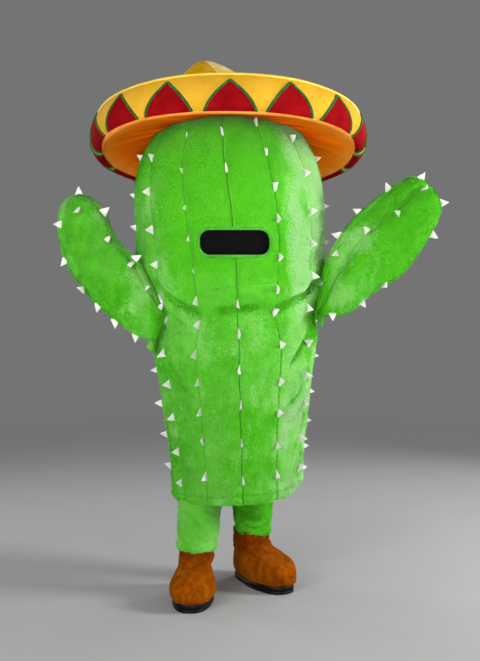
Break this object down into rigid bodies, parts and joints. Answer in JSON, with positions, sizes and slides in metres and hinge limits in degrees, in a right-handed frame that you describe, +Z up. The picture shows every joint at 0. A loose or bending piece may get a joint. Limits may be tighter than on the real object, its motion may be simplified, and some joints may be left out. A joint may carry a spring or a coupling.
{
  "type": "plush cactus costume with wide-brimmed hat",
  "caption": "Wearable cactus costume of padded green plush: ribbed hood with see-through panel, sewn tunic, stuffed raised arms, trouser legs, soft boots and a wide hat with a rolled rim.",
  "frame": {"origin": "on the floor, under the centre of the whole costume's box", "axes": "+Z up, the costume looks along -Y, its own left arm is at +X"},
  "size_m": [1.6328, 1.1602, 2.2614],
  "materials": {
    "plush_hood": "short-pile plush, brushed",
    "plush_tunic": "short-pile plush, brushed",
    "plush_arm": "short-pile plush, brushed",
    "plush_leg": "short-pile plush, brushed",
    "lining": "plain lining cloth",
    "mesh_cloth": "black see-through mesh cloth",
    "white_felt": "white felt",
    "boot_suede": "brown suede cloth",
    "sole_rubber": "black, slightly glossy",
    "hat_yellow": "yellow satin cloth",
    "hat_orange": "orange pleated satin cloth",
    "hat_band": "yellow satin cloth with red triangles edged in green",
    "hat_welt": "yellow piping"
  },
  "bodies": {
    "root": {"hood": "plush_hood", "tunic": "plush_tunic", "vision_panel": "mesh_cloth", "base_panel": "lining", "arm_right": "plush_arm", "arm_left": "plush_arm", "leg_right": "plush_leg", "leg_left": "plush_leg", "boot_right": "boot_suede", "boot_left": "boot_suede", "sole_right": "sole_rubber", "sole_left": "sole_rubber", "hat_brim": "hat_orange", "hat_rim_front": "hat_band", "hat_rim_left": "hat_band", "hat_rim_back": "hat_band", "hat_rim_right": "hat_band", "hat_piping": "hat_welt", "hat_crown": "hat_yellow", "spine_right_tip": "white_felt", "spine_right_1": "white_felt", "spine_right_2": "white_felt", "spine_left_tip": "white_felt", "spine_left_1": "white_felt", "spine_left_2": "white_felt"}
  },
  "joints": []
}
